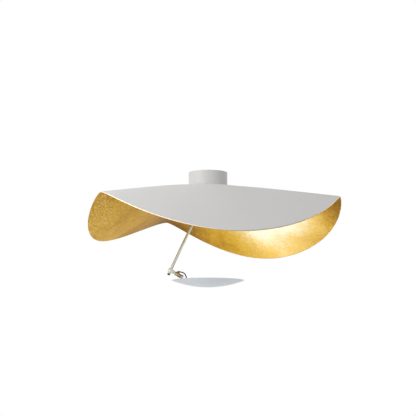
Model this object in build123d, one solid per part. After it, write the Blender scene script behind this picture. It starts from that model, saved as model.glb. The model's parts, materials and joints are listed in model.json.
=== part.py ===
from build123d import *
import math
import os
from functools import lru_cache

# Flush mount ceiling light: a folded round shade lined with gold leaf under a round canopy, and a
# small dish lamp on a leaning arm that throws its light up into the shade. Millimetres. The origin is
# on the ceiling, on the axis of the canopy, +Z points up, and the front of the light faces -Y.

# Clearances
FIT = 0.05  # radial gap between a bore and the pin, rod or screw in it
EASE = 0.3  # gap round a piece that drops into another

# Canopy and ceiling plate
CANOPY_R = 44.0
CANOPY_HEIGHT = 32.5
CANOPY_WALL = 1.5
CANOPY_EDGE = 1.0  # rounding of the lower edge
PLATE_T = 1.5
CABLE_HOLE_R = 10.0
SLOT_SPACING = 60.0
SLOT_LENGTH = 12.0
SLOT_WIDTH = 5.0
TAB_WIDTH = 14.0
TAB_DROP = 12.5
TAB_INSET = 1.1
TAB_ROUND = 3.0
GRUB_R = 2.0
GRUB_LENGTH = 6.0
GRUB_DROP = 8.0
GRUB_KEY = 2.0

# Threaded nipple that hangs the shade and the arm from the canopy
NIPPLE_R = 5.0
NIPPLE_BORE_R = 3.5
NIPPLE_RISE = 8.5  # above the canopy floor
NIPPLE_NUT_FLATS = 14.0
NIPPLE_NUT_T = 4.0
NIPPLE_WASHER_R = 9.0
NIPPLE_WASHER_T = 1.0

# Driver, terminal block and earth screw inside the canopy
DRIVER_SIZE = (44.0, 22.0, 18.0)
DRIVER_EDGE = 1.5
DRIVER_GAP = 2.8  # from its corners to the canopy's wall
DRIVER_EAR = (5.0, 10.0, 2.0)
DRIVER_SCREW_R = 1.5
DRIVER_HEAD_R = 2.3
TERMINAL_SIZE = (30.0, 16.0, 8.0)
TERMINAL_GAP = 8.0  # from its corners to the canopy's wall
TERMINAL_POLES = 3
TERMINAL_POST = (8.4, 12.8, 4.0)
TERMINAL_WIRE_R = 1.6
TERMINAL_SCREW_R = 1.4
TERMINAL_SCREW_LENGTH = 3.2
TERMINAL_SCREW_Y = 3.5  # each side of the block's middle
EARTH_GAP = 10.9
EARTH_TURN = -34.7
EARTH_SCREW_R = 2.0
EARTH_HEAD_R = 3.8
SMALL_HEAD_T = 1.8

# Shares that every screw and nut here has in common
HEAD_ROUND = 0.35  # of the head's thickness
SLOT_REACH = 1.2  # of the head's radius, each way
SLOT_BREADTH = 0.28
GRUB_SLOT_BREADTH = 0.45
GRUB_SLOT_DEPTH = 0.3
NUT_CORNER = 0.56  # radius over the corners, of the flats
NUT_CHAMFER = 0.12

# Shade: a round blank, flat in its middle, whose rim falls in three lobes between three ridges.
# Each ridge has its azimuth, its drop at the rim, the extra drop of the lobe after it, and that
# lobe's lean towards one ridge.
BLANK_R = 300.0
BLANK_X = 6.2
BLANK_Y = -2.6
SHADE_FLAT_R = CANOPY_R
SHADE_WALL = 2.0
LEAF_T = 0.3
RIDGES = ((-16.4, 33.5, 102.8, -0.05), (110.8, 47.3, 73.2, -0.21), (218.8, 37.3, 93.7, -0.09))
LOBE_FULLNESS = 0.68
RIDGE_SOFTNESS = 0.34
CROWN_SOFTNESS = 0.18  # share of the way to the rim over which the flat middle turns down
RING_STEP = 6  # degrees between the points of one ring
RING_PLACES = (0.0, 0.04, 0.1, 0.2, 0.35, 0.55, 0.8, 1.0)
SLANT_STEPS = 24
SLANT_TRIES = 8
PLACE_STEP = 0.002  # for slopes along the fall
TURN_STEP = 0.1  # for slopes round the rim

# Clamp under the shade and swivel of the arm
PAD_R = 28.0
PAD_T = 0.6
CLAMP_R = 30.0
CLAMP_T = 3.0
CLAMP_EDGE = 0.8
SWIVEL_WASHER_R = NIPPLE_R + 5.0
SWIVEL_WASHER_T = 0.5
FORK_R = 15.0
FORK_T = 3.0
SWIVEL_NUT_R = NIPPLE_R + 1.6
SWIVEL_NUT_T = 2.5
SWIVEL_NUT_SLOT = 1.6
NIPPLE_END = 0.3  # thread that stands out below the swivel nut

# Upper pivot
PIVOT_X = -3.5
PIVOT_BELOW_FORK = 8.6
PIVOT_R = 2.0
PIVOT_WASHER_T = 0.5
NUT_TO_EAR = 0.4
EYE_R = 4.8
EYE_WIDTH = 2 * (SWIVEL_NUT_R + NUT_TO_EAR - PIVOT_WASHER_T)
EYE_CHAMFER = 0.4
PIVOT_WASHER_R = 4.5
EAR_T = 2.5
EAR_R = 5.0
EAR_ROOT = 15.0
PIVOT_HEAD_R = 3.5
PIVOT_HEAD_T = 2.4
PIVOT_NUT_FLATS = 7.0
PIVOT_NUT_T = 3.0

# Arm, measured along its length from the upper pivot
ARM_LEAN = 25.2  # degrees from vertical towards -X
ROD_R = 3.1
ROD_WALL = 1.0
ROD_START = 7.0
ROD_END = 198.6
CAP_T = 3.8
CAP_SPIGOT = 4.0
CAP_ROUND = 0.8
SOCKET_WALL = 1.3
SOCKET_END = 15.0
SOCKET_CHAMFER = 0.6
KNUCKLE_FROM_END = 7.4
TONGUE_R = 3.6
TONGUE_WIDTH = 5.6
TONGUE_TO_ROD = 0.5
COLLAR_WALL = 1.8
COLLAR_HALF = 4.6
COLLAR_CHAMFER = 0.5
KNUCKLE_EAR_R = TONGUE_R + EASE
KNUCKLE_EAR_T = 1.8
KNUCKLE_PIN_R = 1.5
KNUCKLE_HEAD_R = 2.8
KNUCKLE_HEAD_T = 1.8
KNUCKLE_NUT_FLATS = 5.5
KNUCKLE_NUT_T = 2.4
SET_SCREW_R = 1.2

# Barrel, measured along its axis from the knuckle pin
BARREL_SLOPE = 31.0  # degrees below level, towards +X
BARREL_R = 4.45
BARREL_START = 5.3
BARREL_END = 18.8
BARREL_CHAMFER = 0.5
BARREL_FLUTES = 12
FLUTE_R = 0.5
FLUTE_MARGIN = 1.6
SHAFT_R = 2.5
SHAFT_BORE_R = 1.2
SHOULDER_R = BARREL_R - 0.55
SHOULDER_T = 0.9
FERRULE_R = BARREL_R - 0.45
FERRULE_T = 2.2
LEG_T = 1.5
LEG_HALF = 7.0
LEG_TOP_R = 5.6
BARREL_WASHER_T = 0.5
BARREL_NUT_FLATS = 8.0
BARREL_NUT_T = 2.2
SHAFT_PROUD = 0.2

# Cable outlet on the barrel, level with the knuckle pin and measured from it
OUTLET_R = 2.0
OUTLET_FROM = 9.4
OUTLET_TO = 14.8

# Dish lamp
DISH_R = 82.3
DISH_DEPTH = 15.3
DISH_WALL = 1.5
KNUCKLE_INSET = 3.9  # knuckle pin inside the rim
HEAD_DROP = 19.0  # rim below the knuckle pin
RIM_LAND = 6.3
COVER_R = DISH_R - RIM_LAND
COVER_T = 1.2
LUG_INSET = 6.0
LUG_R = 3.0
LUG_COUNT = 3
LUG_SCREW_R = 1.25
LUG_HEAD_R = 2.4
LUG_SCREW_LENGTH = 2.2
LIGHT_TO_GROMMET = 8.1
OPAL_ROUND = 0.4
FLANGE_LAP = 3.0
FLANGE_T = 1.5
RING_BREADTH = 4.0
RING_LIP = 1.0
RING_LAND = 2.0
RING_SCREW_R = 0.8
RING_HEAD_R = 1.4
RING_SCREW_TURNS = (60, 220, 320)
BOARD_INSET = 5.0  # inside the light opening
BOARD_T = 1.6
BOARD_DROP = 7.0  # board face below the rim
SPREADER_MARGIN = 8.0
BOARD_SCREWS = 3
BOARD_SCREW_INSET = 3.5
BOARD_HEAD_R = 2.2
BOARD_SCREW_LENGTH = 3.0
CHIP_SIZE = (3.0, 3.0, 0.7)
CHIP_PITCH = 7.6
CHIP_TO_SCREW = 5.0
FOOT_INSET = 2.0
FOOT_ROUND = 2.5
FOOT_SCREW_INSET = 5.5
FOOT_SCREW_Y = 4.0
FOOT_SCREW_R = 1.5
FOOT_HEAD_R = 2.6
BACKPLATE_SIZE = (6.0, 13.0, 0.8)

# Cable loop from the barrel to the dish, in the plane of the arm, measured from the knuckle pin
CABLE_R = 1.25
CABLE_REACH = 29.8  # where it enters the dish
CABLE_ROUTE = ((17.8, 0.0), (24.2, -2.4), (28.2, -7.6), (CABLE_REACH, -13.8))
CABLE_IN_OUTLET = 3.4
CABLE_BELOW_COVER = 1.6
BEND_SHARE = 0.45
GROMMET_NECK_R = 2.6
GROMMET_R = 3.5
GROMMET_LIP = 0.9
GROMMET_ROUND = 0.45


# Levels down the axis
CANOPY_FLOOR = -CANOPY_HEIGHT + CANOPY_WALL
NIPPLE_WASHER_TOP = CANOPY_FLOOR + NIPPLE_WASHER_T
SHADE_TOP = -CANOPY_HEIGHT
LEAF_TOP = SHADE_TOP - SHADE_WALL
PAD_TOP = LEAF_TOP - LEAF_T
CLAMP_TOP = PAD_TOP - PAD_T
UPPER_WASHER_TOP = CLAMP_TOP - CLAMP_T
FORK_TOP = UPPER_WASHER_TOP - SWIVEL_WASHER_T
LOWER_WASHER_TOP = FORK_TOP - FORK_T
SWIVEL_NUT_TOP = LOWER_WASHER_TOP - SWIVEL_WASHER_T
NIPPLE_BOTTOM = SWIVEL_NUT_TOP - SWIVEL_NUT_T - NIPPLE_END
EAR_IN = EYE_WIDTH / 2 + PIVOT_WASHER_T
EAR_OUT = EAR_IN + EAR_T
PIVOT_Z = LOWER_WASHER_TOP - PIVOT_BELOW_FORK

# What fits the rod
ROD_BORE_R = ROD_R - ROD_WALL
SOCKET_R = ROD_R + SOCKET_WALL
COLLAR_R = ROD_R + COLLAR_WALL
KNUCKLE_OFFSET = ROD_R + TONGUE_R + TONGUE_TO_ROD
KNUCKLE_ALONG = ROD_END - KNUCKLE_FROM_END

# Arm frame: its Z runs down the rod and its X points to the barrel side
LEAN = math.radians(ARM_LEAN)
LEAN_SIN = math.sin(LEAN)
LEAN_COS = math.cos(LEAN)
ARM = Plane(origin=(PIVOT_X, 0, PIVOT_Z), x_dir=(LEAN_COS, 0, -LEAN_SIN), z_dir=(-LEAN_SIN, 0, -LEAN_COS))
KNUCKLE = ARM.from_local_coords((KNUCKLE_OFFSET, 0, KNUCKLE_ALONG))

# Head frame: its origin is the middle of the dish's rim. Everything from the knuckle tongue on is
# modelled in it and then moved to HEAD.
PIN_X = KNUCKLE_INSET - DISH_R
PIN_Z = HEAD_DROP
HEAD = Pos(KNUCKLE.X - PIN_X, 0, KNUCKLE.Z - PIN_Z)

# Barrel frame, within the head frame: its Z runs along the barrel away from the knuckle and its X
# points up
SLOPE = math.radians(BARREL_SLOPE)
SLOPE_SIN = math.sin(SLOPE)
SLOPE_COS = math.cos(SLOPE)
BARREL = Plane(origin=(PIN_X, 0, PIN_Z), x_dir=(SLOPE_SIN, 0, SLOPE_COS), z_dir=(SLOPE_COS, 0, -SLOPE_SIN))

# Stations along the barrel
FERRULE_START = BARREL_END
LEG_START = FERRULE_START + FERRULE_T
BARREL_WASHER_START = LEG_START + LEG_T
BARREL_NUT_START = BARREL_WASHER_START + BARREL_WASHER_T
SHAFT_END = BARREL_NUT_START + BARREL_NUT_T + SHAFT_PROUD

# Levels and places in the dish
DISH_SPHERE_R = (DISH_R**2 + DISH_DEPTH**2) / (2 * DISH_DEPTH)
DISH_CENTRE_Z = DISH_SPHERE_R - DISH_DEPTH
DISH_INNER_R = DISH_SPHERE_R - DISH_WALL
COVER_BOTTOM = -COVER_T
BOARD_TOP = -BOARD_DROP
SPREADER_TOP = BOARD_TOP - BOARD_T
LUG_PLACE_R = COVER_R - LUG_INSET
CABLE_X = PIN_X + CABLE_REACH
LIGHT_R = -CABLE_X - GROMMET_R - LIGHT_TO_GROMMET
FLANGE_R = LIGHT_R + FLANGE_LAP
RING_R = FLANGE_R + RING_BREADTH
BOARD_R = LIGHT_R - BOARD_INSET
SPREADER_R = BOARD_R + SPREADER_MARGIN
RING_SCREW_PLACE_R = (FLANGE_R + RING_R) / 2
BOARD_SCREW_PLACE_R = BOARD_R - BOARD_SCREW_INSET
FOOT_LEFT = FOOT_INSET - COVER_R
FOOT_SCREW_X = FOOT_LEFT + FOOT_SCREW_INSET
CHIP_RINGS = int((BOARD_SCREW_PLACE_R - CHIP_TO_SCREW) / CHIP_PITCH)

# Places inside the canopy
CANOPY_BORE_R = CANOPY_R - CANOPY_WALL
DRIVER_REACH = math.sqrt((CANOPY_BORE_R - DRIVER_GAP) ** 2 - (DRIVER_SIZE[0] / 2) ** 2)
DRIVER_Y = DRIVER_REACH - DRIVER_SIZE[1] / 2
TERMINAL_REACH = math.sqrt((CANOPY_BORE_R - TERMINAL_GAP) ** 2 - (TERMINAL_SIZE[0] / 2) ** 2)
TERMINAL_Y = TERMINAL_SIZE[1] / 2 - TERMINAL_REACH
EARTH_X = (CANOPY_BORE_R - EARTH_GAP) * math.cos(math.radians(EARTH_TURN))
EARTH_Y = (CANOPY_BORE_R - EARTH_GAP) * math.sin(math.radians(EARTH_TURN))


def disc(radius, top, thick, hole=0.0):
    """Flat round piece about the vertical axis, given by its upper face."""
    piece = Pos(0, 0, top - thick / 2) * Cylinder(radius, thick)
    if hole:
        piece -= Pos(0, 0, top - thick / 2) * Cylinder(hole, thick)
    return piece


def rod(radius, start, end, bore=0.0):
    """Round bar, or tube, along the local Z axis."""
    piece = Pos(0, 0, (start + end) / 2) * Cylinder(radius, end - start)
    if bore:
        piece -= Pos(0, 0, (start + end) / 2) * Cylinder(bore, end - start)
    return piece


def cross_rod(radius, low, high):
    """Round bar along Y between two places."""
    return Pos(0, (low + high) / 2, 0) * Rot(90, 0, 0) * Cylinder(radius, high - low)


def hex_nut(flats, start, thick, bore):
    """Hexagon nut along the local Z axis."""
    outline = RegularPolygon(flats / 2, 6, major_radius=False)
    nut = Pos(0, 0, start) * extrude(outline, amount=thick)
    crown = Pos(0, 0, start + thick / 2) * Cylinder(flats * NUT_CORNER, thick)
    crown = chamfer(crown.edges().filter_by(GeomType.CIRCLE), thick * NUT_CHAMFER)
    return (nut & crown) - Pos(0, 0, start + thick / 2) * Cylinder(bore, thick)


def pan_screw(shank, head, head_thick, length):
    """Screw along the local Z axis, its head below zero, with a cross slot."""
    body = Pos(0, 0, length / 2) * Cylinder(shank, length)
    top = Pos(0, 0, -head_thick / 2) * Cylinder(head, head_thick)
    top = fillet(top.edges().group_by(Axis.Z)[0], head_thick * HEAD_ROUND)
    slot = Pos(0, 0, -head_thick) * Box(head * SLOT_REACH, head * SLOT_BREADTH, head_thick)
    return body + top - slot - Rot(0, 0, 90) * slot


def grub_slot(radius, top):
    """Cut for a slotted grub screw whose end is at a height along the local Z axis."""
    return Pos(0, 0, top) * Box(radius * 2, radius * GRUB_SLOT_BREADTH, top * GRUB_SLOT_DEPTH * 2)


def polar(radius, degrees, height=0.0):
    """Place at a radius and an azimuth."""
    angle = math.radians(degrees)
    return Pos(radius * math.cos(angle), radius * math.sin(angle), height)


def ceiling_plate():
    """Steel disc that is screwed to the ceiling, with two tabs bent down for the canopy's screws."""
    plate = disc(CANOPY_BORE_R - EASE, 0, PLATE_T, CABLE_HOLE_R)
    face = CANOPY_BORE_R - TAB_INSET
    for side in (-1, 1):
        middle = side * (face - PLATE_T / 2)
        tab = Pos(middle, 0, -TAB_DROP / 2) * Box(PLATE_T, TAB_WIDTH, TAB_DROP)
        tab = fillet(tab.edges().filter_by(Axis.X).group_by(Axis.Z)[0], TAB_ROUND)
        hole = Pos(middle, 0, -GRUB_DROP) * Rot(0, 90, 0) * Cylinder(GRUB_R + FIT, PLATE_T * 2)
        plate = plate + tab - hole
        outline = SlotOverall(SLOT_LENGTH, SLOT_WIDTH)
        plate -= Pos(side * SLOT_SPACING / 2, 0, -PLATE_T) * extrude(outline, amount=PLATE_T)
    for place in driver_screw_places() + terminal_screw_places():
        plate -= Pos(*place, -PLATE_T / 2) * Cylinder(DRIVER_SCREW_R + FIT, PLATE_T)
    plate -= Pos(EARTH_X, EARTH_Y, -PLATE_T / 2) * Cylinder(EARTH_SCREW_R + FIT, PLATE_T)
    return plate


def canopy_cup():
    """Drawn cup that covers the plate and the wiring."""
    cup = Pos(0, 0, -CANOPY_HEIGHT / 2) * Cylinder(CANOPY_R, CANOPY_HEIGHT)
    cup = fillet(cup.edges().group_by(Axis.Z)[0], CANOPY_EDGE)
    depth = CANOPY_HEIGHT - CANOPY_WALL
    cup -= Pos(0, 0, -depth / 2) * Cylinder(CANOPY_BORE_R, depth)
    cup -= disc(NIPPLE_R + FIT, CANOPY_FLOOR, CANOPY_WALL)
    for side in (-1, 1):
        cup -= Pos(side * CANOPY_R, 0, -GRUB_DROP) * Rot(0, 90, 0) * Cylinder(GRUB_R + FIT, CANOPY_WALL * 4)
    return cup


def canopy_screws():
    """Two socket grub screws, flush with the canopy's wall."""
    screws = []
    for side in (-1, 1):
        key = extrude(RegularPolygon(GRUB_KEY / 2, 6, major_radius=False), amount=GRUB_KEY)
        screw = Pos(0, 0, -GRUB_LENGTH / 2) * Cylinder(GRUB_R, GRUB_LENGTH) - Pos(0, 0, -GRUB_KEY) * key
        screws.append(Pos(side * CANOPY_R, 0, -GRUB_DROP) * Rot(0, side * 90, 0) * screw)
    return screws


def driver_screw_places():
    """Middle of each ear of the driver."""
    reach = DRIVER_SIZE[0] / 2 + DRIVER_EAR[0] / 2
    return [(-reach, DRIVER_Y), (reach, DRIVER_Y)]


def terminal_screw_places():
    """Between the poles of the terminal block."""
    pitch = TERMINAL_SIZE[0] / TERMINAL_POLES
    return [(-pitch / 2, TERMINAL_Y), (pitch / 2, TERMINAL_Y)]


def led_driver():
    """Closed driver housing with an ear at each end."""
    length, width, height = DRIVER_SIZE
    box = Pos(0, DRIVER_Y, -PLATE_T - height / 2) * Box(length, width, height)
    box = fillet(box.edges().filter_by(Axis.Z) + box.edges().group_by(Axis.Z)[0], DRIVER_EDGE)
    ear_length, ear_width, ear_thick = DRIVER_EAR
    for x, y in driver_screw_places():
        ear = Pos(x, y, -PLATE_T - ear_thick / 2) * Box(ear_length, ear_width, ear_thick)
        hole = Pos(x, y, -PLATE_T - ear_thick / 2) * Cylinder(DRIVER_SCREW_R + FIT, ear_thick)
        box = box + ear - hole
    return box


def driver_screws():
    """Two screws through the driver's ears into the plate."""
    under = PLATE_T + DRIVER_EAR[2]
    screw = pan_screw(DRIVER_SCREW_R, DRIVER_HEAD_R, SMALL_HEAD_T, under)
    return [Pos(x, y, -under) * screw for x, y in driver_screw_places()]


def terminal_poles():
    """Place of each pole along the terminal block."""
    pitch = TERMINAL_SIZE[0] / TERMINAL_POLES
    return [(index - (TERMINAL_POLES - 1) / 2) * pitch for index in range(TERMINAL_POLES)]


def clamp_screw_places():
    """Two places in each pole, either side of its middle."""
    rows = (TERMINAL_Y - TERMINAL_SCREW_Y, TERMINAL_Y + TERMINAL_SCREW_Y)
    return [(x, y) for x in terminal_poles() for y in rows]


def terminal_block():
    """Terminal strip with a raised post over each pole."""
    length, width, height = TERMINAL_SIZE
    post_length, post_width, rise = TERMINAL_POST
    bottom = -PLATE_T - height - rise
    block = Pos(0, TERMINAL_Y, -PLATE_T - height / 2) * Box(length, width, height)
    for x in terminal_poles():
        block += Pos(x, TERMINAL_Y, (bottom - PLATE_T) / 2) * Box(post_length, post_width, -PLATE_T - bottom)
        block -= Pos(x, TERMINAL_Y, -PLATE_T - height / 2) * Rot(90, 0, 0) * Cylinder(TERMINAL_WIRE_R, width)
    for x, y in clamp_screw_places():
        block -= Pos(x, y, bottom) * Cylinder(TERMINAL_SCREW_R + FIT, rise * 2)
    for x, y in terminal_screw_places():
        block -= Pos(x, y, -PLATE_T - height / 2) * Cylinder(DRIVER_SCREW_R + FIT, height * 2)
    return block


def terminal_screws():
    """Wire clamping screws, two in each pole."""
    bottom = -PLATE_T - TERMINAL_SIZE[2] - TERMINAL_POST[2]
    screw = rod(TERMINAL_SCREW_R, 0, TERMINAL_SCREW_LENGTH)
    screw -= grub_slot(TERMINAL_SCREW_R, TERMINAL_SCREW_LENGTH)
    turned = Pos(0, 0, bottom + TERMINAL_SCREW_LENGTH) * Rot(180, 0, 0) * screw
    return [Pos(x, y, 0) * turned for x, y in clamp_screw_places()]


def block_screws():
    """Two screws that hold the terminal strip to the plate."""
    under = PLATE_T + TERMINAL_SIZE[2]
    screw = pan_screw(DRIVER_SCREW_R, DRIVER_SCREW_R + FIT / 2, SMALL_HEAD_T, under)
    return [Pos(x, y, -under) * screw for x, y in terminal_screw_places()]


def earth_screw():
    """Earth screw with its washer face, through the plate."""
    screw = pan_screw(EARTH_SCREW_R, EARTH_HEAD_R, SMALL_HEAD_T, PLATE_T)
    return Pos(EARTH_X, EARTH_Y, -PLATE_T) * screw


def lobe_drop(azimuth):
    """How far the rim has fallen at an azimuth."""
    first = RIDGES[0]
    turned = (azimuth - first[0]) % 360 + first[0]
    ridges = RIDGES + ((first[0] + 360, first[1]),)
    for here, there in zip(RIDGES, ridges[1:]):
        start, low, swell, lean = here
        if turned <= there[0]:
            break
    share = (turned - start) / (there[0] - start)
    leaned = share + lean * share * (1 - share)
    wave = math.hypot(math.sin(math.pi * leaned), RIDGE_SOFTNESS) - RIDGE_SOFTNESS
    wave /= math.hypot(1, RIDGE_SOFTNESS) - RIDGE_SOFTNESS
    blend = share * share * (3 - 2 * share)
    return low + (there[1] - low) * blend + swell * wave**LOBE_FULLNESS


def fall_share(place):
    """Share of the rim's drop that is reached at a share of the way out."""
    top = math.hypot(1, CROWN_SOFTNESS) - CROWN_SOFTNESS
    return (math.hypot(place, CROWN_SOFTNESS) - CROWN_SOFTNESS) / top


@lru_cache(None)
def rim(azimuth):
    """Drop and plan radius of the rim, whose slant length is that of the round blank."""
    cos, sin = math.cos(math.radians(azimuth)), math.sin(math.radians(azimuth))
    across = BLANK_X * sin - BLANK_Y * cos
    length = BLANK_X * cos + BLANK_Y * sin + math.sqrt(BLANK_R**2 - across**2)
    drop = lobe_drop(azimuth)
    levels = [drop * fall_share(step / SLANT_STEPS) for step in range(SLANT_STEPS + 1)]
    falls = [low - high for high, low in zip(levels, levels[1:])]
    reach = length
    for _ in range(SLANT_TRIES):
        out = (reach - SHADE_FLAT_R) / SLANT_STEPS
        reach += length - SHADE_FLAT_R - sum(math.hypot(out, fall) for fall in falls)
    return drop, reach


def shade_point(azimuth, place, depth):
    """Point of the shade at a share of the way out, a depth under its upper face."""

    def upper(degrees, share):
        drop, reach = rim(round(degrees % 360, 6))
        radius = SHADE_FLAT_R + (reach - SHADE_FLAT_R) * share
        angle = math.radians(degrees)
        level = SHADE_TOP - drop * fall_share(abs(share))
        return Vector(radius * math.cos(angle), radius * math.sin(angle), level)

    point = upper(azimuth, place)
    if place == 0:
        return point - Vector(0, 0, depth)
    outward = upper(azimuth, place + PLACE_STEP) - upper(azimuth, place - PLACE_STEP)
    around = upper(azimuth + TURN_STEP, place) - upper(azimuth - TURN_STEP, place)
    return point - outward.cross(around).normalized() * depth


def shade_ring(place, depth):
    """Closed smooth ring round the shade."""
    return Wire([Spline([shade_point(a, place, depth) for a in range(0, 360, RING_STEP)], periodic=True)])


def shade_skin(*depths):
    """Sheet between two depths of the shade, holed for the nipple."""
    skins = [Shell.make_loft([shade_ring(place, depth) for place in RING_PLACES]) for depth in depths]
    rings = [skin.edges().filter_by(lambda edge: edge.is_closed).sort_by(SortBy.LENGTH) for skin in skins]
    holes = [Edge.make_circle(NIPPLE_R + FIT, Plane.XY.offset(SHADE_TOP - depth)) for depth in depths]
    faces = [skin.faces()[0] for skin in skins]
    faces += [Face(Wire([ring[0]]), [Wire([hole])]) for ring, hole in zip(rings, holes)]
    faces.append(Face.make_surface_from_curves(rings[0][-1], rings[1][-1]))
    faces.append(Face.make_surface_from_curves(*holes))
    return Solid(Shell(faces))


def threaded_nipple():
    """Hollow threaded tube from inside the canopy to the swivel nut."""
    return rod(NIPPLE_R, NIPPLE_BOTTOM, CANOPY_FLOOR + NIPPLE_RISE, NIPPLE_BORE_R)


def clamp_disc():
    """Turned disc that screws up the nipple and holds the shade against the canopy."""
    plate = disc(CLAMP_R, CLAMP_TOP, CLAMP_T)
    plate = chamfer(plate.edges().group_by(Axis.Z)[0], CLAMP_EDGE)
    return plate - disc(NIPPLE_R + FIT, CLAMP_TOP, CLAMP_T)


def swivel_nut():
    """Slim round nut with spanner slots, under the fork."""
    nut = disc(SWIVEL_NUT_R, SWIVEL_NUT_TOP, SWIVEL_NUT_T, NIPPLE_R + FIT)
    low = SWIVEL_NUT_TOP - SWIVEL_NUT_T
    for turn in (0, 90):
        nut -= Pos(0, 0, low) * Rot(0, 0, turn) * Box(SWIVEL_NUT_R * 2, SWIVEL_NUT_SLOT, SWIVEL_NUT_SLOT)
    return nut


def swivel_fork():
    """Disc that turns on the nipple, with two ears for the upper pivot."""
    fork = disc(FORK_R, FORK_TOP, FORK_T)
    fork = chamfer(fork.edges().group_by(Axis.Z)[-1], CLAMP_EDGE)
    root = FORK_TOP - FORK_T
    left = max(PIVOT_X - EAR_ROOT / 2, -math.sqrt(FORK_R**2 - EAR_OUT**2))
    outline = Polygon(
        (left, root + FORK_T / 2),
        (left, root),
        (PIVOT_X - EAR_R, PIVOT_Z),
        (PIVOT_X + EAR_R, PIVOT_Z),
        (left + EAR_ROOT, root),
        (left + EAR_ROOT, root + FORK_T / 2),
        align=None,
    )
    outline += Pos(PIVOT_X, PIVOT_Z) * Circle(EAR_R)
    outline -= Pos(PIVOT_X, PIVOT_Z) * Circle(PIVOT_R + FIT)
    for low in (EAR_IN, -EAR_OUT):
        fork += Pos(0, low + EAR_T, 0) * extrude(Plane.XZ * outline, amount=EAR_T)
    return fork - disc(NIPPLE_R + FIT, FORK_TOP, FORK_T)


def pivot_screw():
    """Screw through both ears, its slotted head at the front."""
    screw = pan_screw(PIVOT_R, PIVOT_HEAD_R, PIVOT_HEAD_T, EAR_OUT * 2 + PIVOT_NUT_T)
    return Pos(PIVOT_X, -EAR_OUT, PIVOT_Z) * Rot(-90, 0, 0) * screw


def pivot_nut():
    """Nut at the back of the upper pivot."""
    nut = hex_nut(PIVOT_NUT_FLATS, 0, PIVOT_NUT_T, PIVOT_R + FIT)
    return Pos(PIVOT_X, EAR_OUT, PIVOT_Z) * Rot(-90, 0, 0) * nut


def pivot_washers():
    """Friction washers between the arm's eye and the ears."""
    ring = rod(PIVOT_WASHER_R, 0, PIVOT_WASHER_T, PIVOT_R + FIT)
    starts = (EYE_WIDTH / 2, -EAR_IN)
    return [Pos(PIVOT_X, start, PIVOT_Z) * Rot(-90, 0, 0) * ring for start in starts]


def arm_eye():
    """Cross barrel on the upper pivot with the socket of the rod."""
    half = EYE_WIDTH / 2
    eye = cross_rod(EYE_R, -half, half)
    eye = chamfer(eye.edges().filter_by(GeomType.CIRCLE), EYE_CHAMFER)
    neck = chamfer(rod(SOCKET_R, 0, SOCKET_END).edges().group_by(Axis.Z)[-1], SOCKET_CHAMFER)
    eye += neck
    eye -= cross_rod(PIVOT_R + FIT, -half, half)
    eye -= rod(ROD_R + FIT, ROD_START, SOCKET_END)
    return ARM * eye


def arm_end_cap():
    """Dark plug in the lower end of the rod."""
    cap = rod(ROD_R, ROD_END, ROD_END + CAP_T)
    cap = fillet(cap.edges().group_by(Axis.Z)[-1], CAP_ROUND)
    cap += rod(ROD_BORE_R - FIT, ROD_END - CAP_SPIGOT, ROD_END)
    return ARM * cap


def knuckle_fork():
    """Collar on the rod with two ears that carry the knuckle pin."""
    collar = rod(COLLAR_R, KNUCKLE_ALONG - COLLAR_HALF, KNUCKLE_ALONG + COLLAR_HALF)
    collar = chamfer(collar.edges().filter_by(GeomType.CIRCLE), COLLAR_CHAMFER)
    half_gap = TONGUE_WIDTH / 2 + FIT
    outer = half_gap + KNUCKLE_EAR_T
    ear_reach = Pos(KNUCKLE_OFFSET / 2, 0, KNUCKLE_ALONG) * Box(KNUCKLE_OFFSET, outer * 2, KNUCKLE_EAR_R * 2)
    ear_round = Pos(KNUCKLE_OFFSET, 0, KNUCKLE_ALONG) * cross_rod(KNUCKLE_EAR_R, -outer, outer)
    fork = collar + ear_reach + ear_round
    room = Pos(KNUCKLE_OFFSET, 0, KNUCKLE_ALONG)
    fork -= room * cross_rod(TONGUE_R + EASE, -half_gap, half_gap)
    fork -= room * Pos(KNUCKLE_EAR_R, 0, 0) * Box(KNUCKLE_EAR_R * 2, half_gap * 2, COLLAR_HALF * 3)
    fork -= room * cross_rod(KNUCKLE_PIN_R + FIT, -outer, outer)
    fork -= rod(ROD_R + FIT, KNUCKLE_ALONG - COLLAR_HALF, KNUCKLE_ALONG + COLLAR_HALF)
    fork -= Pos(-COLLAR_R / 2, 0, KNUCKLE_ALONG) * Rot(0, 90, 0) * Cylinder(SET_SCREW_R + FIT, COLLAR_R)
    return ARM * fork


def knuckle_set_screw():
    """Grub screw that locks the collar on the rod, on the side away from the barrel."""
    length = COLLAR_R - ROD_R - FIT
    screw = Pos(0, 0, length / 2) * Cylinder(SET_SCREW_R, length)
    screw -= grub_slot(SET_SCREW_R, length)
    return ARM * Pos(-ROD_R - FIT / 2, 0, KNUCKLE_ALONG) * Rot(0, -90, 0) * screw


def knuckle_screw():
    """Pin screw of the lower knuckle."""
    outer = TONGUE_WIDTH / 2 + FIT + KNUCKLE_EAR_T
    screw = pan_screw(KNUCKLE_PIN_R, KNUCKLE_HEAD_R, KNUCKLE_HEAD_T, outer * 2 + KNUCKLE_NUT_T)
    return Pos(KNUCKLE.X, -outer, KNUCKLE.Z) * Rot(-90, 0, 0) * screw


def knuckle_nut():
    """Nut of the lower knuckle."""
    outer = TONGUE_WIDTH / 2 + FIT + KNUCKLE_EAR_T
    nut = hex_nut(KNUCKLE_NUT_FLATS, 0, KNUCKLE_NUT_T, KNUCKLE_PIN_R + FIT)
    return Pos(KNUCKLE.X, outer, KNUCKLE.Z) * Rot(-90, 0, 0) * nut


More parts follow.
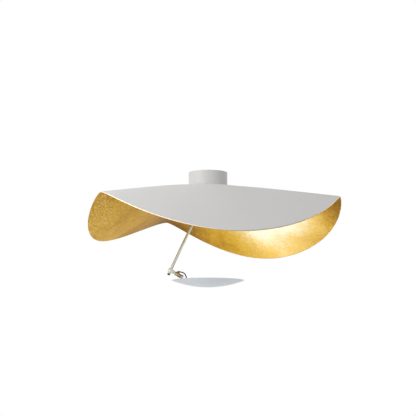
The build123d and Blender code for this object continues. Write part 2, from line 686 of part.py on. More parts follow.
def knuckle_tongue():
    """Eye between the ears, with the hollow shaft on which the barrel turns."""
    half = TONGUE_WIDTH / 2
    tongue = cross_rod(TONGUE_R, -half, half)
    tongue += rod(SHAFT_R, 0, SHAFT_END)
    tongue += rod(SHOULDER_R, BARREL_START - SHOULDER_T, BARREL_START)
    tongue -= cross_rod(KNUCKLE_PIN_R + FIT, -half, half)
    tongue -= rod(SHAFT_BORE_R, BARREL_START, SHAFT_END)
    return BARREL * tongue


def barrel_sleeve():
    """Fluted brass barrel with the outlet of the cable on its upper side."""
    sleeve = rod(BARREL_R, BARREL_START, BARREL_END)
    sleeve = chamfer(sleeve.edges().filter_by(GeomType.CIRCLE), BARREL_CHAMFER)
    for index in range(BARREL_FLUTES):
        flute = rod(FLUTE_R, BARREL_START + FLUTE_MARGIN, BARREL_END - FLUTE_MARGIN)
        sleeve -= Rot(0, 0, (index + 0.5) * 360 / BARREL_FLUTES) * Pos(BARREL_R, 0, 0) * flute
    sleeve = BARREL * sleeve + outlet_bar(OUTLET_R, OUTLET_FROM, OUTLET_TO)
    sleeve -= BARREL * rod(SHAFT_R + FIT, BARREL_START, BARREL_END)
    return sleeve - outlet_bar(CABLE_R + FIT, OUTLET_TO - CABLE_IN_OUTLET, OUTLET_TO)


def outlet_bar(radius, start, end):
    """Level round bar at the height of the knuckle pin, measured from the pin."""
    return Pos(PIN_X, 0, PIN_Z) * Rot(0, 90, 0) * rod(radius, start, end)


def barrel_ferrule():
    """Copper ferrule at the end of the barrel."""
    ferrule = rod(FERRULE_R, FERRULE_START, LEG_START, SHAFT_R + FIT)
    return BARREL * ferrule


def head_bracket():
    """Bent plate: a leg across the end of the barrel and a foot on the dish's cover."""
    reach = BARREL.from_local_coords((0, 0, LEG_START)).Z / SLOPE_COS
    middle = LEG_START + LEG_T / 2
    leg = Pos(-reach, 0, middle) * Box(reach * 2, LEG_HALF * 2, LEG_T)
    leg += Pos(0, 0, middle) * Cylinder(LEG_TOP_R, LEG_T)
    leg = BARREL * leg
    bend_x = BARREL.from_local_coords((-reach, 0, LEG_START)).X
    foot = Pos((FOOT_LEFT + bend_x + LEG_T) / 2, 0, LEG_T / 2)
    foot = foot * Box(bend_x + LEG_T - FOOT_LEFT, LEG_HALF * 2, LEG_T)
    corners = foot.edges().filter_by(Axis.Z).group_by(Axis.X)[0]
    foot = fillet(corners, FOOT_ROUND)
    below = Pos(bend_x, 0, -reach) * Box(reach * 4, LEG_HALF * 4, reach * 2)
    bracket = leg + foot - below
    bracket -= BARREL * rod(SHAFT_R + FIT, LEG_START, LEG_START + LEG_T)
    for side in (-1, 1):
        bracket -= Pos(FOOT_SCREW_X, side * FOOT_SCREW_Y, 0) * Cylinder(FOOT_SCREW_R + FIT, LEG_T * 3)
    return bracket


def barrel_washer():
    """Spring washer under the barrel's nut."""
    return BARREL * rod(FERRULE_R, BARREL_WASHER_START, BARREL_NUT_START, SHAFT_R + FIT)


def barrel_nut():
    """Thin nut that holds the barrel and the bracket on the shaft."""
    return BARREL * hex_nut(BARREL_NUT_FLATS, BARREL_NUT_START, BARREL_NUT_T, SHAFT_R + FIT)


def foot_screws():
    """Two screws from the foot through the cover into the backing plate."""
    length = LEG_T + COVER_T + BACKPLATE_SIZE[2]
    screw = pan_screw(FOOT_SCREW_R, FOOT_HEAD_R, SMALL_HEAD_T, length)
    return [Pos(FOOT_SCREW_X, side * FOOT_SCREW_Y, LEG_T) * Rot(180, 0, 0) * screw for side in (-1, 1)]


def foot_backplate():
    """Threaded strip under the cover for the foot's screws."""
    thick = BACKPLATE_SIZE[2]
    plate = Pos(FOOT_SCREW_X, 0, COVER_BOTTOM - thick / 2) * Box(*BACKPLATE_SIZE)
    for side in (-1, 1):
        hole = Cylinder(FOOT_SCREW_R + FIT, thick * 3)
        plate -= Pos(FOOT_SCREW_X, side * FOOT_SCREW_Y, COVER_BOTTOM) * hole
    return plate


def lug_turns():
    """Azimuths of the cover's screws."""
    return [360 / LUG_COUNT * index for index in range(LUG_COUNT)]


def dish():
    """Shallow round dish, a rebate at its rim for the cover and three lugs for its screws."""
    block = Pos(0, 0, -DISH_DEPTH) * Cylinder(DISH_R * 2, DISH_DEPTH * 2)
    shell = Pos(0, 0, DISH_CENTRE_Z) * (Sphere(DISH_SPHERE_R) - Sphere(DISH_INNER_R))
    shell = shell & block
    for turn in lug_turns():
        lug = polar(LUG_PLACE_R, turn, -DISH_DEPTH / 2) * Cylinder(LUG_R, DISH_DEPTH)
        lug = lug & (Pos(0, 0, DISH_CENTRE_Z) * Sphere(DISH_INNER_R + DISH_WALL / 2))
        shell += lug
        shell -= polar(LUG_PLACE_R, turn, COVER_BOTTOM) * Cylinder(LUG_SCREW_R + FIT, COVER_T * 2)
    return shell - disc(COVER_R + EASE / 2, 0, COVER_T)


def dish_cover():
    """Flat ring that closes the dish round the light opening."""
    cover = disc(COVER_R, 0, COVER_T, LIGHT_R + EASE)
    for turn in lug_turns():
        cover -= polar(LUG_PLACE_R, turn) * Cylinder(LUG_SCREW_R + FIT, COVER_T * 3)
    for turn in RING_SCREW_TURNS:
        cover -= polar(RING_SCREW_PLACE_R, turn, COVER_BOTTOM) * Cylinder(RING_SCREW_R + FIT, COVER_T)
    for side in (-1, 1):
        cover -= Pos(FOOT_SCREW_X, side * FOOT_SCREW_Y, 0) * Cylinder(FOOT_SCREW_R + FIT, COVER_T * 3)
    return cover - Pos(CABLE_X, 0, 0) * Cylinder(GROMMET_NECK_R, COVER_T * 3)


def cover_screws():
    """Three screws that hold the cover on the dish's lugs."""
    screw = pan_screw(LUG_SCREW_R, LUG_HEAD_R, LUG_SCREW_R, LUG_SCREW_LENGTH)
    return [polar(LUG_PLACE_R, turn) * Rot(180, 0, 0) * screw for turn in lug_turns()]


def diffuser():
    """Stepped opal disc: its middle fills the opening and its flange lies under the cover."""
    opal = disc(LIGHT_R, 0, COVER_T) + disc(FLANGE_R, COVER_BOTTOM, FLANGE_T)
    return fillet(opal.edges().group_by(Axis.Z)[-1], OPAL_ROUND)


def diffuser_ring():
    """Ring under the cover that holds the diffuser's flange."""
    thick = FLANGE_T + RING_LIP
    ring = disc(RING_R, COVER_BOTTOM, thick, FLANGE_R + EASE)
    ring += disc(RING_R, COVER_BOTTOM - FLANGE_T, RING_LIP, FLANGE_R - RING_LAND)
    for turn in RING_SCREW_TURNS:
        hole = Cylinder(RING_SCREW_R + FIT, thick)
        ring -= polar(RING_SCREW_PLACE_R, turn, COVER_BOTTOM - thick / 2) * hole
    return ring


def ring_screws():
    """Three small screws from below through the ring into the cover."""
    thick = FLANGE_T + RING_LIP
    screw = pan_screw(RING_SCREW_R, RING_HEAD_R, RING_SCREW_R, thick + COVER_T / 2)
    return [polar(RING_SCREW_PLACE_R, turn, COVER_BOTTOM - thick) * screw for turn in RING_SCREW_TURNS]


def heat_spreader():
    """Turned disc that carries the board and beds on the inside of the dish."""
    blank = rod(SPREADER_R, -DISH_DEPTH, SPREADER_TOP)
    spreader = blank & (Pos(0, 0, DISH_CENTRE_Z) * Sphere(DISH_INNER_R - FIT))
    for turn in board_screw_turns():
        spreader -= polar(BOARD_SCREW_PLACE_R, turn, SPREADER_TOP) * Cylinder(LUG_SCREW_R + FIT, BOARD_T * 2)
    return spreader


def board_screw_turns():
    """Azimuths of the board's screws."""
    return [360 / BOARD_SCREWS * (index + 0.5) for index in range(BOARD_SCREWS)]


def led_board():
    """Round circuit board of the light source."""
    board = disc(BOARD_R, BOARD_TOP, BOARD_T)
    for turn in board_screw_turns():
        board -= polar(BOARD_SCREW_PLACE_R, turn, BOARD_TOP) * Cylinder(LUG_SCREW_R + FIT, BOARD_T * 3)
    return board


def board_screws():
    """Three screws that hold the board on the spreader."""
    screw = pan_screw(LUG_SCREW_R, BOARD_HEAD_R, LUG_SCREW_R, BOARD_SCREW_LENGTH)
    screw = Rot(180, 0, 0) * screw
    return [polar(BOARD_SCREW_PLACE_R, turn, BOARD_TOP) * screw for turn in board_screw_turns()]


def led_chips():
    """Light emitting packages in rings on the board."""
    chips = []
    for ring in range(1, CHIP_RINGS + 1):
        for index in range(6 * ring):
            turn = 60 / ring * index
            chip = Rot(0, 0, turn) * Box(*CHIP_SIZE)
            chips.append(polar(CHIP_PITCH * ring, turn, BOARD_TOP + CHIP_SIZE[2] / 2) * chip)
    return chips


def cable_grommet():
    """Rubber grommet in the cover, round the cable."""
    grommet = rod(GROMMET_R, 0, GROMMET_LIP)
    grommet = fillet(grommet.edges().group_by(Axis.Z)[-1], GROMMET_ROUND)
    grommet += rod(GROMMET_NECK_R - FIT, COVER_BOTTOM, 0)
    grommet += rod(GROMMET_R, COVER_BOTTOM - GROMMET_LIP, COVER_BOTTOM)
    grommet -= rod(CABLE_R + FIT, COVER_BOTTOM - GROMMET_LIP, GROMMET_LIP)
    return Pos(CABLE_X, 0, 0) * grommet


def cable_loop():
    """Thin black cable from the barrel's outlet over into the dish."""
    start = (OUTLET_TO - CABLE_IN_OUTLET, 0)
    end = (CABLE_REACH, COVER_BOTTOM - CABLE_BELOW_COVER - PIN_Z)
    route = [Vector(PIN_X + x, 0, PIN_Z + z) for x, z in (start,) + CABLE_ROUTE + (end,)]
    radii = []
    for before, here, after in zip(route, route[1:], route[2:]):
        turn = math.radians((here - before).get_angle(after - here))
        shorter = min((here - before).length, (after - here).length)
        radii.append(BEND_SHARE * shorter / math.tan(turn / 2))
    line = FilletPolyline(*route, radius=radii)
    tube = sweep(Plane(origin=route[0], z_dir=route[1] - route[0]) * Circle(CABLE_R), path=line)
    section = math.pi * CABLE_R**2
    print("cable length", round(line.length, 2), "radii", [round(radius, 1) for radius in radii])
    print("cable volume", round(tube.volume, 2), "section times length", round(section * line.length, 2))
    return tube


FIXED_PIECES = {
    "ceiling_plate": ceiling_plate,
    "canopy_cup": canopy_cup,
    "canopy_screws": canopy_screws,
    "led_driver": led_driver,
    "driver_screws": driver_screws,
    "terminal_block": terminal_block,
    "terminal_screws": terminal_screws,
    "block_screws": block_screws,
    "earth_screw": earth_screw,
    "threaded_nipple": threaded_nipple,
    "nipple_washer": lambda: disc(NIPPLE_WASHER_R, NIPPLE_WASHER_TOP, NIPPLE_WASHER_T, NIPPLE_R + FIT),
    "nipple_nut": lambda: hex_nut(NIPPLE_NUT_FLATS, NIPPLE_WASHER_TOP, NIPPLE_NUT_T, NIPPLE_R + FIT),
    "shade_shell": lambda: shade_skin(0, SHADE_WALL),
    "gold_leaf_lining": lambda: shade_skin(SHADE_WALL, SHADE_WALL + LEAF_T),
    "clamp_pad": lambda: disc(PAD_R, PAD_TOP, PAD_T, NIPPLE_R + FIT),
    "clamp_disc": clamp_disc,
    "swivel_washer_upper": lambda: disc(SWIVEL_WASHER_R, UPPER_WASHER_TOP, SWIVEL_WASHER_T, NIPPLE_R + FIT),
    "swivel_fork": swivel_fork,
    "swivel_washer_lower": lambda: disc(SWIVEL_NUT_R, LOWER_WASHER_TOP, SWIVEL_WASHER_T, NIPPLE_R + FIT),
    "swivel_nut": swivel_nut,
    "pivot_screw": pivot_screw,
    "pivot_nut": pivot_nut,
    "pivot_washers": pivot_washers,
    "arm_eye": arm_eye,
    "arm_rod": lambda: ARM * rod(ROD_R, ROD_START, ROD_END, ROD_BORE_R),
    "arm_end_cap": arm_end_cap,
    "knuckle_fork": knuckle_fork,
    "knuckle_set_screw": knuckle_set_screw,
    "knuckle_screw": knuckle_screw,
    "knuckle_nut": knuckle_nut,
}

HEAD_PIECES = {
    "knuckle_tongue": knuckle_tongue,
    "barrel_sleeve": barrel_sleeve,
    "barrel_ferrule": barrel_ferrule,
    "barrel_washer": barrel_washer,
    "barrel_nut": barrel_nut,
    "head_bracket": head_bracket,
    "foot_screws": foot_screws,
    "foot_backplate": foot_backplate,
    "cable_loop": cable_loop,
    "cable_grommet": cable_grommet,
    "dish": dish,
    "dish_cover": dish_cover,
    "cover_screws": cover_screws,
    "diffuser": diffuser,
    "diffuser_ring": diffuser_ring,
    "ring_screws": ring_screws,
    "heat_spreader": heat_spreader,
    "led_board": led_board,
    "board_screws": board_screws,
    "led_chips": led_chips,
}


def write_pieces(pieces, place):
    """One file for each node, its solids moved to their place."""
    for name, make in pieces.items():
        made = make()
        solids = made if isinstance(made, list) else [made]
        moved = [place * solid for solid in solids]
        export_step(moved[0] if len(moved) == 1 else Compound(children=moved), f"parts/{name}.step")


os.makedirs("parts", exist_ok=True)
write_pieces(FIXED_PIECES, Pos(0, 0, 0))
write_pieces(HEAD_PIECES, HEAD)
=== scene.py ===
import json
import math
from functools import cache

import bpy
import numpy as np
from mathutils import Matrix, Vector, noise

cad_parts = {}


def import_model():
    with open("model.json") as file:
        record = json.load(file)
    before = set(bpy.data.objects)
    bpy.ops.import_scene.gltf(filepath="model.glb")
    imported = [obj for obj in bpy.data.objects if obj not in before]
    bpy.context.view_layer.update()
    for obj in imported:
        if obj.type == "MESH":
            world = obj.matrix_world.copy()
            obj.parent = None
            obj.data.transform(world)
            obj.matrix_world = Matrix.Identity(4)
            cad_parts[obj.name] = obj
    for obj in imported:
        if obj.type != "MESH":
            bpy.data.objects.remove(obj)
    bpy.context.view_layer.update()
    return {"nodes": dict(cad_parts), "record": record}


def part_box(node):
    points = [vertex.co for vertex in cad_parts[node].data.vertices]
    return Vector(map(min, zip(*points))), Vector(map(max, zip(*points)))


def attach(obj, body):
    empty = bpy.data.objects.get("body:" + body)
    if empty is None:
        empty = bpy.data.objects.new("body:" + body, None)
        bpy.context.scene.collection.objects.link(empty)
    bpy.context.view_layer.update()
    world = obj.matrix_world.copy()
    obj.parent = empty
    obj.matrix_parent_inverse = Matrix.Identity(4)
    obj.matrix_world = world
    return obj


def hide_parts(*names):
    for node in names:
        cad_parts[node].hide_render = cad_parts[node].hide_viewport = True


# Flush ceiling light: a round shade folded into three lobes and gilded inside, under a round
# canopy, with a small dish lamp on a leaning arm. Metres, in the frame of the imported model: the
# origin is on the ceiling, the front faces -Y. Azimuths and other angles are in degrees.

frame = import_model()

# Shade: flat in its middle, its rim falls in three lobes between three ridges. Each ridge has its
# azimuth, its drop, the extra drop of the lobe after it, and that lobe's lean towards one ridge.
BLANK_R = 0.3
BLANK_X = 0.0062
BLANK_Y = -0.0026
FLAT_R = 0.044
HOLE_R = 0.00505
SHADE_TOP = -0.0325
SHADE_WALL = 0.002
RIDGES = (
    (-16.4, 0.0335, 0.1028, -0.05),
    (110.8, 0.0473, 0.0732, -0.21),
    (218.8, 0.0373, 0.0937, -0.09),
)
LOBE_FULLNESS = 0.68
RIDGE_SOFTNESS = 0.34
CROWN_SOFTNESS = 0.18

# Meshes of the shell and the leaf: points round the shade, rings on each face and how they crowd
# towards the rim, and the rim's rounding
SHADE_TURNS = 540
SHADE_RINGS = 80
LEAF_RINGS = 124
LEAF_BACK_RINGS = 24
CROWN_RINGS = 5
RING_CROWDING = 0.9
EDGE_R = 0.0005
RIM_STEPS = 4

# Leaf: its thickness and relief, the folds in it, and the laps between the squares it is laid in
LEAF_T = 0.0003
LEAF_RELIEF = 0.00014
FOLD_SCALES = (30, 64, 120)
FOLD_FADE = 0.6
FOLD_HEIGHT = 0.4
LEAF_SIDE = 0.08
ROW_SHIFT = 0.37
LAP_SHARE = 0.04
LAP_HEIGHT = 0.2

# Tone of the leaf: a painted highlight on the belly of the back right lobe, painted shade towards each
# ridge, and crinkles with painted glints and shade at the outer end of the left lobe. Places are shares
# of the way out to the rim.
LEAF_PAINTED_HIGHLIGHT = 0.5
LEAF_HIGHLIGHT_AZIMUTH = 34
LEAF_HIGHLIGHT_SPREAD = 42
LEAF_HIGHLIGHT_OUT = 0.53
LEAF_HIGHLIGHT_DEPTH = 0.35
# Painted shade towards each ridge, and how wide it spreads in degrees
LEAF_RIDGE_SHADE = (0.30, 0.34, 0.06)
RIDGE_SHADE_SPREAD = 24
CRINKLE_AZIMUTH = 200
CRINKLE_SPREAD = 34
CRINKLE_START = 0.5
CRINKLE_REACH = 0.35

# Knuckle pin, the arm's lean, the barrel's fall below level, and the flutes round it
KNUCKLE = (-0.078394, 0.0, -0.226569)
ARM_LEAN = 25.2
BARREL_FALL = 31.0
BARREL_FLUTES = 12

# Cable from the barrel's outlet into the dish: points measured from the knuckle pin, and how finely
# the line is drawn
CABLE_D = 0.0025
CABLE_ROUTE = (
    (0.0114, 0.0),
    (0.0178, 0.0),
    (0.0242, -0.0024),
    (0.0282, -0.0076),
    (0.0298, -0.0138),
    (0.0298, -0.0218),
)
CABLE_FACETS = 8
CABLE_STEPS = 16

# Hollow nipple and its thread, with the mesh's points to each pitch and round the nipple
NIPPLE_R = 0.005
NIPPLE_BORE_R = 0.0035
THREAD_PITCH = 0.001
THREAD_DEPTH = 0.00055
THREAD_STEPS = 8
THREAD_TURNS = 48

# Camera of the photograph: its place, how far it looks up, and its focal length
CAMERA_PLACE = (0.0, -2.717, -0.444)
CAMERA_UP = 7.61
CAMERA_LENS = 104.33

FLOOR_Z = -2.9
FLOOR_SIZE = 6.0
FLOOR_LIFT = 0.4

# Each lamp's place, size and power: a key from the upper left, a weak fill from the right, and two
# low boxes whose light comes back from the gilding
WORLD_LIGHT = (0.51, 0.515, 0.525)
LAMP_AIM = (0.0, 0.0, -0.12)
LAMPS = {
    "key": ((-0.75, -0.6, 0.6), 0.7, 9.2),
    "fill": ((1.9, -1.9, 0.4), 1.2, 4.0),
    "low_back": ((-0.25, 0.66, -1.24), 0.3, 2.5),
    "low_front": ((-0.9, -1.5, -1.1), 0.7, 3.0),
}

# Colours of the finishes that have a function of their own
WHITE = (1, 1, 1)
FLOOR_WHITE = (0.86, 0.86, 0.85)
SHADE_WHITE = (0.585, 0.575, 0.56)
DUST = (0.9, 0.9, 0.9)
RIM_HIGHLIGHT_CREAM = (0.96, 0.86, 0.66)
RIM_LACQUER = (0.56, 0.53, 0.48)
DISH_GREY = (0.78, 0.815, 0.85)
NICKEL = (0.64, 0.645, 0.58)
# Tones of the leaf; the palest is mostly reached where the painted highlight lifts the tone
LEAF_TONES = (
    (0.15, (0.24, 0.115, 0.012)),
    (0.38, (0.52, 0.28, 0.026)),
    (0.5, (0.69, 0.425, 0.05)),
    (0.62, (0.78, 0.54, 0.115)),
    (0.88, (0.96, 0.90, 0.69)),
)
# Painted glint on the crinkles' crests and painted shade in their beds
LEAF_CREST_GLINT = (0.98, 0.82, 0.44)
LEAF_BED_SHADE = (0.38, 0.18, 0.02)
LEAF_GROUND = (0.30, 0.12, 0.02)
LEAF_GRAZING = (0.75, 0.56, 0.28)

# Where along X the rim face is pale metal, a painted highlight line, left and right, and how far it
# wanders
RIM_HIGHLIGHT_LEFT = (0.02, 0.13)
RIM_HIGHLIGHT_RIGHT = (0.24, 0.3)
RIM_HIGHLIGHT_WANDER = 0.08

# Stretch of a brushed metal's lines
ALONG_Z = (1, 1, 0.02)

# Plain finishes: colour and how far it varies, roughness from and to, cells of grain to the metre and
# its depth in metres, and then what else sets the finish apart
PLAIN_FINISHES = {
    "zinc_steel": ((0.56, 0.57, 0.58), 0.2, (0.26, 0.42), 500, 0.00004, {"metallic": 1.0}),
    "canopy_lacquer": ((0.62, 0.61, 0.595), 0.02, (0.4, 0.5), 420, 0.00002, {}),
    "driver_plastic": ((0.74, 0.74, 0.72), 0.04, (0.5, 0.65), 1600, 0.00004, {}),
    "white_plastic": ((0.80, 0.80, 0.78), 0.03, (0.35, 0.5), 900, 0.00002, {}),
    "black_rubber": ((0.022, 0.022, 0.022), 0.3, (0.6, 0.8), 1800, 0.00004, {"specular": 0.25}),
    "black_cable": ((0.004, 0.004, 0.004), 0.3, (0.62, 0.75), 2200, 0.00003, {"specular": 0.1}),
    "dark_cap": ((0.05, 0.045, 0.035), 0.3, (0.3, 0.45), 1200, 0.00003, {"specular": 0.4}),
    "bare_aluminium": ((0.72, 0.73, 0.74), 0.1, (0.3, 0.45), 700, 0.00003, {"metallic": 1.0}),
    "board": ((0.80, 0.81, 0.79), 0.03, (0.3, 0.4), 1500, 0.00001, {}),
    "chips": ((0.85, 0.66, 0.20), 0.1, (0.25, 0.35), 2500, 0.00002, {}),
    "opal": ((0.86, 0.86, 0.83), 0.02, (0.35, 0.45), 800, 0.00001, {"milky": 0.4}),
}
MILKY_DEPTH = (0.004, 0.004, 0.004)

# Metals of the barrel: colours of the worn crests and of the flutes, darkened as painted shade,
# roughness from and to
BARREL_METALS = {
    "brass": dict(crest=(0.93, 0.78, 0.52), groove_shade=(0.06, 0.03, 0.012), rough=(0.18, 0.4)),
    "copper": dict(crest=(0.72, 0.40, 0.28), groove_shade=(0.36, 0.17, 0.10), rough=(0.2, 0.35)),
}


def lobe_drop(azimuth):
    """How far the rim has fallen at an azimuth."""
    first = RIDGES[0]
    turned = (azimuth - first[0]) % 360 + first[0]
    ridges = RIDGES + ((first[0] + 360, first[1]),)
    for here, there in zip(RIDGES, ridges[1:]):
        start, low, swell, lean = here
        if turned <= there[0]:
            break
    share = (turned - start) / (there[0] - start)
    leaned = share + lean * share * (1 - share)
    wave = math.hypot(math.sin(math.pi * leaned), RIDGE_SOFTNESS) - RIDGE_SOFTNESS
    wave /= math.hypot(1, RIDGE_SOFTNESS) - RIDGE_SOFTNESS
    blend = share * share * (3 - 2 * share)
    return low + (there[1] - low) * blend + swell * wave**LOBE_FULLNESS


def fall_share(place):
    """Share of the rim's drop that is reached at a share of the way out."""
    top = math.hypot(1, CROWN_SOFTNESS) - CROWN_SOFTNESS
    return (np.hypot(place, CROWN_SOFTNESS) - CROWN_SOFTNESS) / top


def rim(azimuth, steps=24, tries=8):
    """Drop and plan radius of the rim, whose slant length is that of the round blank."""
    cos = math.cos(math.radians(azimuth))
    sin = math.sin(math.radians(azimuth))
    across = BLANK_X * sin - BLANK_Y * cos
    length = BLANK_X * cos + BLANK_Y * sin + math.sqrt(BLANK_R**2 - across**2)
    drop = lobe_drop(azimuth)
    falls = np.diff(drop * fall_share(np.linspace(0, 1, steps + 1)))
    reach = length
    for _ in range(tries):
        out = (reach - FLAT_R) / steps
        reach += length - FLAT_R - np.hypot(out, falls).sum()
    return drop, reach


def shade_points(places, depths):
    """Points of the shade, one row for each azimuth. A place below 0 lies in the flat middle, and a
    depth is measured square to the surface, down from the upper face."""
    azimuths = np.arange(SHADE_TURNS) * 360 / SHADE_TURNS
    rims = np.array([rim(azimuth) for azimuth in azimuths])
    angle = np.radians(azimuths)[:, None]

    def upper(share):
        radius = FLAT_R + (rims[:, 1:] - FLAT_R) * np.maximum(share, 0) + FLAT_R * np.minimum(share, 0)
        level = SHADE_TOP - rims[:, :1] * fall_share(np.maximum(share, 0))
        return np.stack([radius * np.cos(angle), radius * np.sin(angle), level], 2)

    share = np.asarray(places)[None, :] + np.zeros((SHADE_TURNS, 1))
    points = upper(share)
    step = 0.002
    outward = upper(np.maximum(share, 0) + step) - upper(np.maximum(share, 0) - step)
    around = np.roll(points, -1, 0) - np.roll(points, 1, 0)
    normal = np.cross(outward, around)
    normal /= np.linalg.norm(normal, axis=2, keepdims=True)
    normal[:, np.asarray(places) <= 0] = (0, 0, 1)
    return points - normal * np.asarray(depths)[..., None]


def mesh_piece(name, vertices, faces, body, slot, replaced, smooth=True):
    """A mesh object that rides on a body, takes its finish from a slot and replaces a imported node."""
    mesh = bpy.data.meshes.new(name)
    mesh.from_pydata([tuple(vertex) for vertex in vertices], [], faces)
    mesh.validate()
    mesh.polygons.foreach_set("use_smooth", [smooth] * len(mesh.polygons))
    mesh.update()
    mesh.materials.append(material_of(slot))
    piece = bpy.data.objects.new(name, mesh)
    bpy.context.scene.collection.objects.link(piece)
    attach(piece, body)
    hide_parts(replaced)
    return piece


def ring_faces(turns, rings):
    """Quads of a closed skin, from rows of points, one row for each turn, with as many in a row as
    there are rings."""
    faces = []
    for turn in range(turns):
        here = turn * rings
        there = (turn + 1) % turns * rings
        for ring in range(rings):
            after = (ring + 1) % rings
            faces.append((there + ring, here + ring, here + after, there + after))
    return faces


def section_of_skin(top, bottom, top_rings, bottom_rings, round_r):
    """Places and depths round the section of a skin: out along its top, over the rounded rim and back
    along its bottom to the hole. The last number is how many points lie before the rim."""
    hole = HOLE_R / FLAT_R - 1
    edge = round_r / (BLANK_R - FLAT_R)
    flat = np.linspace(hole, 0, CROWN_RINGS, endpoint=False)
    out = np.concatenate([flat, np.linspace(0, 1, top_rings) ** RING_CROWDING * (1 - edge)])
    back = np.concatenate([flat, np.linspace(0, 1, bottom_rings) ** RING_CROWDING * (1 - edge)])[::-1]
    turn = np.linspace(0, math.pi / 2, RIM_STEPS + 1)[1:]
    around = 1 - edge + edge * np.sin(turn)
    fall = round_r * (1 - np.cos(turn))
    places = [out, around, around[::-1], back]
    depths = [np.full(len(out), top), top + fall, (bottom - fall)[::-1], np.full(len(back), bottom)]
    return np.concatenate(places), np.concatenate(depths), len(out)


def shade_shell():
    """The painted shell, its rim rounded, with a finish of its own on the rim's face."""
    places, depths, way = section_of_skin(0, SHADE_WALL, SHADE_RINGS, SHADE_RINGS, EDGE_R)
    points = shade_points(places, depths).reshape(-1, 3)
    faces = ring_faces(SHADE_TURNS, len(places))
    piece = mesh_piece("shade_painted", points, faces, "base", "shade_lacquer", "shade_shell")
    piece.data.materials.append(rim_highlight_edge())
    rim_rings = range(way, way + 2 * RIM_STEPS)
    for index, polygon in enumerate(piece.data.polygons):
        if index % len(places) in rim_rings:
            polygon.material_index = 1


def leaf_relief(x, y):
    """How far the leaf stands off its ground at a place, from 0 to 1: crumpled folds, and laps where
    one square of leaf lies over the next."""
    folds = 0
    size = 1.0
    for scale in FOLD_SCALES:
        value = noise.noise(Vector((x * scale, y * scale, scale)))
        folds += size * (1 - abs(value) * 2)
        size *= FOLD_FADE
    row = math.floor(y / LEAF_SIDE)
    across = (x / LEAF_SIDE + ROW_SHIFT * row) % 1
    along = (y / LEAF_SIDE) % 1
    lap = max(0, 1 - across / LAP_SHARE) + max(0, 1 - along / LAP_SHARE)
    return min(1, max(0, FOLD_HEIGHT * folds + LAP_HEIGHT * min(lap, 1)))


def turned_from(azimuths, azimuth):
    """Degrees from an azimuth, from -180 to 180."""
    return (azimuths - azimuth + 180) % 360 - 180


def bell(distance):
    """Smooth hump, 1 where the distance is 0."""
    return np.exp(-distance * distance)


def gold_leaf():
    """Gold leaf laid in squares on the whole underside. Its points hold the tone, which is a painted
    highlight and painted shade, and the crinkle zone, with its painted glints and shade, that the
    finish reads."""
    face = SHADE_WALL + LEAF_T
    places, depths, way = section_of_skin(SHADE_WALL, face, LEAF_BACK_RINGS, LEAF_RINGS, LEAF_T / 3)
    flat = shade_points(places, depths)
    depths = np.tile(depths, (SHADE_TURNS, 1))
    for turn in range(SHADE_TURNS):
        for ring in range(way + 2 * RIM_STEPS, len(places)):
            x, y, _ = flat[turn, ring]
            depths[turn, ring] -= LEAF_RELIEF * (1 - leaf_relief(x, y))
    points = shade_points(places, depths).reshape(-1, 3)
    faces = ring_faces(SHADE_TURNS, len(places))
    piece = mesh_piece("gold_leaf", points, faces, "base", "gold_leaf", "gold_leaf_lining")
    azimuths = (np.arange(SHADE_TURNS) * 360 / SHADE_TURNS)[:, None]
    out = np.maximum(places, 0)[None, :]
    # Painted highlight: the tone is lifted on the belly of the back right lobe
    tone = LEAF_PAINTED_HIGHLIGHT * bell(turned_from(azimuths, LEAF_HIGHLIGHT_AZIMUTH) / LEAF_HIGHLIGHT_SPREAD)
    tone = tone * bell((out - LEAF_HIGHLIGHT_OUT) / LEAF_HIGHLIGHT_DEPTH)
    # Painted shade: the tone is lowered towards each ridge
    for ridge, darker in zip(RIDGES, LEAF_RIDGE_SHADE):
        tone = tone - darker * out * bell(turned_from(azimuths, ridge[0]) / RIDGE_SHADE_SPREAD)
    # Crinkle zone, where the finish lays the crinkle relief with its painted glints and painted shade
    crinkle = bell(turned_from(azimuths, CRINKLE_AZIMUTH) / CRINKLE_SPREAD)
    crinkle = crinkle * np.clip((out - CRINKLE_START) / CRINKLE_REACH, 0, 1)
    for name, values in (("tone", tone), ("crinkle", crinkle)):
        attribute = piece.data.attributes.new(name, "FLOAT", "POINT")
        attribute.data.foreach_set("value", (values + np.zeros_like(depths)).ravel())


def cable():
    """Thin black cable in one smooth line from the barrel's outlet into the dish."""
    data = bpy.data.curves.new("cable", "CURVE")
    data.dimensions = "3D"
    data.bevel_depth = CABLE_D / 2
    data.bevel_resolution = CABLE_FACETS
    data.resolution_u = CABLE_STEPS
    spline = data.splines.new("NURBS")
    spline.points.add(len(CABLE_ROUTE) - 1)
    for point, (x, z) in zip(spline.points, CABLE_ROUTE):
        point.co = (KNUCKLE[0] + x, 0, KNUCKLE[2] + z, 1)
    spline.order_u = 3
    spline.use_endpoint_u = True
    data.materials.append(material_of("black_cable"))
    piece = bpy.data.objects.new("cable", data)
    bpy.context.scene.collection.objects.link(piece)
    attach(piece, "head")
    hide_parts("cable_loop")


